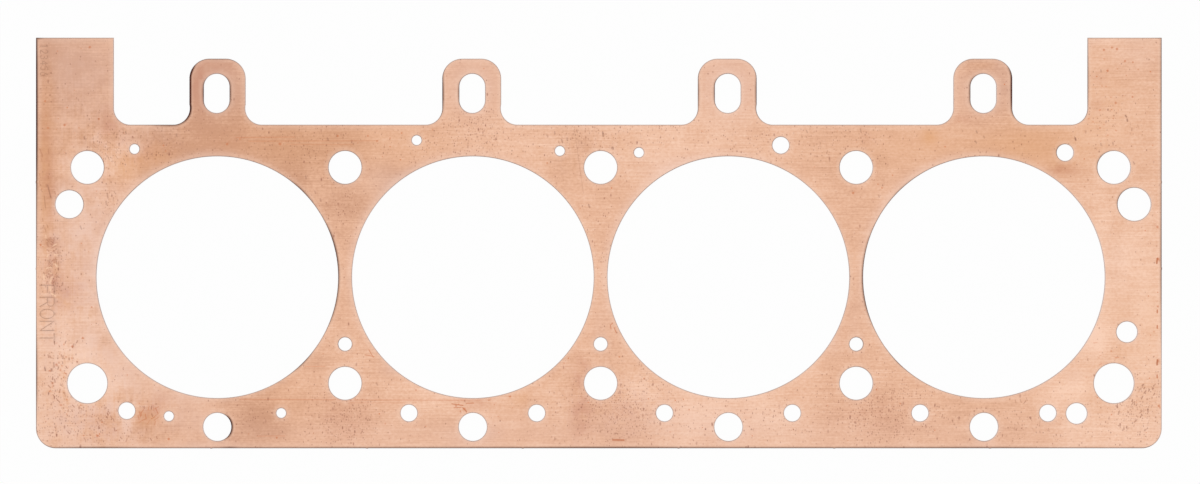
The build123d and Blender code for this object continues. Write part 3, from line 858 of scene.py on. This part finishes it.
def rolledCopper(look):
    # soft copper sheet, cold rolled: a satin sheen with fine lines along the sheet, and thin
    # store tarnish that shifts the orange from pink to tan
    material, tree = emptyMaterial("rolledCopperSheet")
    add, multiply, multiplyAdd = ({"operation": kind} for kind in ("ADD", "MULTIPLY", "MULTIPLY_ADD"))
    coordinate = addNode(tree, "TexCoord")
    place = addNode(tree, "VectorMath", {"operation": "SCALE"},
                    {0: coordinate.outputs["Object"], "Scale": 1 / mm})
    names = list(tarnish) + ["struck", "rubbed", "glint", "paintedEdgeShade", "paintedEdgeHighlight", "pressed", "torn"]
    laidOn = {n: addNode(tree, "Attribute", {"attribute_name": n}).outputs["Fac"] for n in names}

    patterns = {}
    shiftX, shiftY = look["noiseShift"]
    for name in ("lines", "hairs", "pepper", "mottle", "cloud", "crossHairs", "patches"):
        sizeX, sizeY, _, detail = look[name]
        stretch = addNode(tree, "Mapping", None, {
            "Vector": place, "Scale": (1 / sizeX, 1 / sizeY, 1),
            "Location": (detail * shiftX, shiftY, 0)})
        patterns[name] = addNode(tree, "TexNoise", {"noise_dimensions": "2D"}, {
            "Vector": stretch, "Scale": 1.0, "Detail": detail, "Roughness": look["noiseRoughness"]})

    tone = addNode(tree, "Math", add, {0: laidOn["tone"], 1: 0.5})
    for name in ("lines", "hairs", "pepper", "mottle", "cloud"):
        weight = look[name][2]
        swing = addNode(tree, "Math", multiplyAdd, {0: patterns[name], 1: weight, 2: -weight / 2})
        tone = addNode(tree, "Math", add, {0: tone, 1: swing})
    warm = laidOn["warm"]  # the lighter patches are also pinker
    for name, share in (("crossHairs", 0.35), ("patches", 0.5)):
        weight = look[name][2]
        swing = addNode(tree, "Math", multiplyAdd, {0: patterns[name], 1: weight, 2: -weight / 2})
        swing = addNode(tree, "Math", multiply, {0: swing, 1: laidOn["blotch"]})
        tone = addNode(tree, "Math", multiplyAdd, {0: swing, 1: share, 2: tone})
        warm = addNode(tree, "Math", multiplyAdd, {0: swing, 1: -2 * share, 2: warm})
    gain, offset = look["patchBreak"]
    broken = addNode(tree, "Math", multiplyAdd, {0: patterns["patches"], 1: gain, 2: offset})
    bruised = addNode(tree, "Math", multiply, {0: laidOn["bruise"], 1: broken})
    ramp = addNode(tree, "ValToRGB", None, {"Fac": tone})
    stops = ramp.color_ramp.elements
    stops[0].color = linear(look["darkTone"])
    stops[1].color = linear(look["lightTone"])
    stops.new(0.5).color = linear(look["midTone"])

    grains = {}  # one dot in some cells, each with its own size and strength
    for name in ("specks", "blots", "embers"):
        size, stretch, turn, crowdedBy, crowding, base, largest = look[name]
        stretched = addNode(tree, "Mapping", None, {
            "Vector": place, "Rotation": (0, 0, math.radians(turn)),
            "Scale": (1 / size, 1 / (size * stretch), 1)})
        cells = addNode(tree, "TexVoronoi", {"voronoi_dimensions": "2D"},
                        {"Vector": stretched, "Scale": 1.0, "Randomness": 1.0})
        dice = addNode(tree, "SeparateColor", None, {0: cells.outputs["Color"]})
        crowd = addNode(tree, "Math", multiplyAdd, {0: laidOn[crowdedBy], 1: crowding, 2: base})
        chosen = addNode(tree, "Math", {"operation": "LESS_THAN"}, {0: dice.outputs[0], 1: crowd})
        byChance = largest * look["speckByChance"]
        radius = addNode(tree, "Math", multiplyAdd,
                         {0: dice.outputs[1], 1: byChance, 2: largest - byChance})
        core = addNode(tree, "Math", multiply, {0: radius, 1: look["speckCore"]})
        dot = addNode(tree, "MapRange", {"interpolation_type": "SMOOTHSTEP"},
                      {0: cells.outputs["Distance"], 1: radius, 2: core, 3: 0.0, 4: 1.0})
        strength = addNode(tree, "Math", multiplyAdd,
                           {0: dice.outputs[2], 1: 1 - look["faintest"], 2: look["faintest"]})
        dot = addNode(tree, "Math", multiply, {0: dot, 1: chosen})
        grains[name] = addNode(tree, "Math", multiply, {0: dot, 1: strength})

    # each is laid over those before it; 6 and 7 are the mix node's two colours
    colour = ramp.outputs["Color"]
    for amount, share, tint in (
        (warm, 0.6, "orangeTone"), (warm, -0.7, "pinkTone"), (bruised, 0.5, "bruiseTone"),
        (laidOn["haze"], 0.6, "hazeTone"), (laidOn["pressed"], 0.17, "pressedTone"),
        (grains["specks"], 0.5, "dustTone"), (grains["blots"], 0.72, "dustTone"),
        (grains["embers"], 0.85, "emberTone"), (laidOn["rubbed"], 0.85, "emberTone"),
        # glint is a painted highlight on the dents
        (laidOn["struck"], 1.0, "struckTone"), (laidOn["glint"], 0.9, "glintTone"),
        # painted highlight on the rims
        (laidOn["torn"], 0.6, "tornTone"), (laidOn["paintedEdgeHighlight"], 0.9, "edgeHighlightTone"),
        # painted shade on the rims
        (laidOn["paintedEdgeShade"], 0.97, "edgeShadeTone"),
    ):
        cover = addNode(tree, "Math", {"operation": "MULTIPLY", "use_clamp": True},
                        {0: amount, 1: share})
        mix = addNode(tree, "Mix", {"data_type": "RGBA"}, {0: cover, 6: colour, 7: linear(look[tint])})
        colour = mix.outputs[2]

    swing = look["roughSwing"]
    rough = addNode(tree, "Math", multiplyAdd,
                    {0: patterns["lines"], 1: swing, 2: look["roughness"] - swing / 2})
    for amount, more in ((grains["specks"], 0.2), (laidOn["torn"], 0.2), (bruised, 0.06)):
        rough = addNode(tree, "Math", multiplyAdd, {0: amount, 1: more, 2: rough})
    height = addNode(tree, "Math", add, {0: patterns["lines"], 1: patterns["hairs"]})
    bump = addNode(tree, "Bump", None,
                   {"Strength": look["bump"], "Distance": look["bumpHeight"] * mm, "Height": height})
    surface = addNode(tree, "BsdfPrincipled", None, {
        "Base Color": colour, "Metallic": 1.0, "Roughness": rough, "Normal": bump})
    addNode(tree, "OutputMaterial", None, {"Surface": surface})
    return material


mesh.materials.append(rolledCopper(copper))
gasketSheet = addObject("gasketSheet", mesh)
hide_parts("gasket")
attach(gasketSheet, "root")
print("copper finished")

table = {
    "width": 12.0,  # metres, as the rest of the studio
    "drop": 0.0002,  # keeps the sheet's back and the paper from sharing one plane
    "colour": "#ffffff",
    "shown": 0.955,  # share of its white that is plain backdrop; the rest takes light and shadow
}


def matteWhitePaper(look):
    # uncoated backdrop paper: flat white with only a soft shadow on it
    material, tree = emptyMaterial("matteWhitePaper")
    paper = addNode(tree, "BsdfDiffuse", None, {"Color": linear(look["colour"])})
    plain = addNode(tree, "Emission", None, {"Color": (1, 1, 1, 1), "Strength": 1.0})
    ray = addNode(tree, "LightPath")
    seen = ray.outputs["Is Camera Ray"]
    for other in ("Is Glossy Ray", "Is Transmission Ray"):
        seen = addNode(tree, "Math", {"operation": "MAXIMUM"}, {0: seen, 1: ray.outputs[other]})
    share = addNode(tree, "Math", {"operation": "MULTIPLY"}, {0: seen, 1: look["shown"]})
    mix = addNode(tree, "MixShader", None, {0: share, 1: paper, 2: plain})
    addNode(tree, "OutputMaterial", None, {"Surface": mix})
    return material


half, drop = table["width"] / 2, table["drop"]
tableMesh = bpy.data.meshes.new("paperTable")
corners = [(-half, -half, -drop), (half, -half, -drop), (half, half, -drop), (-half, half, -drop)]
tableMesh.from_pydata(corners, [], [(0, 1, 2, 3)])
tableMesh.materials.append(matteWhitePaper(table))
paperTable = addObject("paperTable", tableMesh)

light = {
    "roomStrength": 0.62,  # the plain pale room lights most of the sheet, the softbox the rest
    "roomColour": "#ffffff",
    "boxSize": (2.8, 2.2),  # metres
    "boxHeight": 2.0,
    "boxRadiance": 0.42,
}
world = bpy.data.worlds.new("paleRoom")
world.use_nodes = True
background = world.node_tree.nodes["Background"].inputs
background["Color"].default_value = linear(light["roomColour"])
background["Strength"].default_value = light["roomStrength"]
bpy.context.scene.world = world
lamp = bpy.data.lights.new("overheadSoftbox", "AREA")
lamp.shape = "RECTANGLE"
lamp.size, lamp.size_y = light["boxSize"]
lamp.energy = light["boxRadiance"] * math.pi * lamp.size * lamp.size_y
overheadSoftbox = addObject("overheadSoftbox", lamp)
overheadSoftbox.location = (0, 0, light["boxHeight"])

view = {
    "middle": (-0.0003, 0.0168),  # metres
    "height": 1.5,  # over the sheet's face
    "width": 0.5724,  # of the face's plane that the picture spans
    "sensor": 36.0,  # mm
}
lens = bpy.data.cameras.new("planCamera")
lens.sensor_width = view["sensor"]
lens.lens = view["sensor"] * view["height"] / view["width"]
planCamera = addObject("planCamera", lens)
planCamera.location = (*view["middle"], view["height"] + sheet["thickness"] * mm)
bpy.context.scene.camera = planCamera
bpy.context.scene.view_settings.view_transform = "Standard"
print("table, light and camera set")
